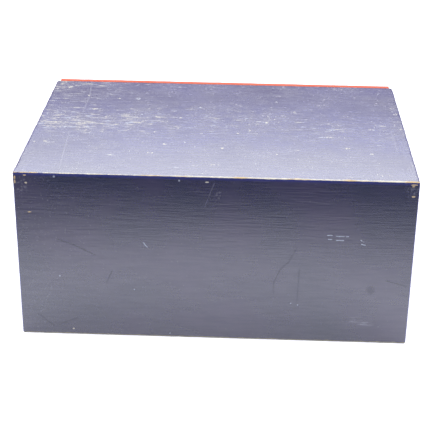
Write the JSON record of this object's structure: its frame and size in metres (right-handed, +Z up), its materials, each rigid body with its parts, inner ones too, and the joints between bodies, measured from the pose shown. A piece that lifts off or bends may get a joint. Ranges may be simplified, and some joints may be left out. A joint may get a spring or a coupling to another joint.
{
  "type": "thread display cabinet",
  "caption": "Painted plywood counter cabinet with stacked full-width drawers that hold thread spools in divided rows, each on side runners with an overlaid front and turned knobs.",
  "frame": {"origin": "centre of the carcass's footprint, on its underside", "axes": "+Z up, the drawers open towards -Y, +X to the right as seen from the front"},
  "size_m": [0.44, 0.3375, 0.202],
  "materials": {
    "blue_paint": "worn satin navy paint over plywood",
    "red_paint": "worn satin red paint over plywood",
    "bare_wood": "bare planed wood",
    "bare_plywood": "bare thin plywood",
    "runner_wood": "waxed hardwood",
    "knob_wood": "turned and varnished",
    "steel": "dull steel"
  },
  "bodies": {
    "carcass": {"left_side_panel": "blue_paint", "right_side_panel": "blue_paint", "top_panel": "blue_paint", "bottom_panel": "blue_paint", "back_panel": "blue_paint", "carcass_nails": "steel", "back_panel_nails": "steel", "runner_screws": "steel", "bottom_left_runner": "runner_wood", "bottom_right_runner": "runner_wood", "middle_left_runner": "runner_wood", "middle_right_runner": "runner_wood", "top_left_runner": "runner_wood", "top_right_runner": "runner_wood"},
    "bottom_drawer": {"bottom_drawer_front": "red_paint", "bottom_drawer_inner_front": "bare_wood", "bottom_drawer_left_side": "bare_wood", "bottom_drawer_right_side": "bare_wood", "bottom_drawer_back": "bare_wood", "bottom_drawer_bottom": "bare_plywood", "bottom_drawer_row_dividers": "bare_wood", "bottom_drawer_left_knob": "knob_wood", "bottom_drawer_right_knob": "knob_wood", "bottom_drawer_knob_screws": "steel", "bottom_drawer_front_screws": "steel", "bottom_drawer_pins": "steel"},
    "middle_drawer": {"middle_drawer_front": "red_paint", "middle_drawer_inner_front": "bare_wood", "middle_drawer_left_side": "bare_wood", "middle_drawer_right_side": "bare_wood", "middle_drawer_back": "bare_wood", "middle_drawer_bottom": "bare_plywood", "middle_drawer_row_dividers": "bare_wood", "middle_drawer_left_knob": "knob_wood", "middle_drawer_right_knob": "knob_wood", "middle_drawer_knob_screws": "steel", "middle_drawer_front_screws": "steel", "middle_drawer_pins": "steel"},
    "top_drawer": {"top_drawer_front": "red_paint", "top_drawer_inner_front": "bare_wood", "top_drawer_left_side": "bare_wood", "top_drawer_right_side": "bare_wood", "top_drawer_back": "bare_wood", "top_drawer_bottom": "bare_plywood", "top_drawer_row_dividers": "bare_wood", "top_drawer_left_knob": "knob_wood", "top_drawer_right_knob": "knob_wood", "top_drawer_knob_screws": "steel", "top_drawer_front_screws": "steel", "top_drawer_pins": "steel"}
  },
  "joints": [
    {"name": "bottom_drawer_slide", "type": "slide", "parent": "carcass", "child": "bottom_drawer", "axis": [0, -1, 0], "range_m": [0, 0.22]},
    {"name": "middle_drawer_slide", "type": "slide", "parent": "carcass", "child": "middle_drawer", "axis": [0, -1, 0], "range_m": [0, 0.22]},
    {"name": "top_drawer_slide", "type": "slide", "parent": "carcass", "child": "top_drawer", "axis": [0, -1, 0], "range_m": [0, 0.22]}
  ]
}
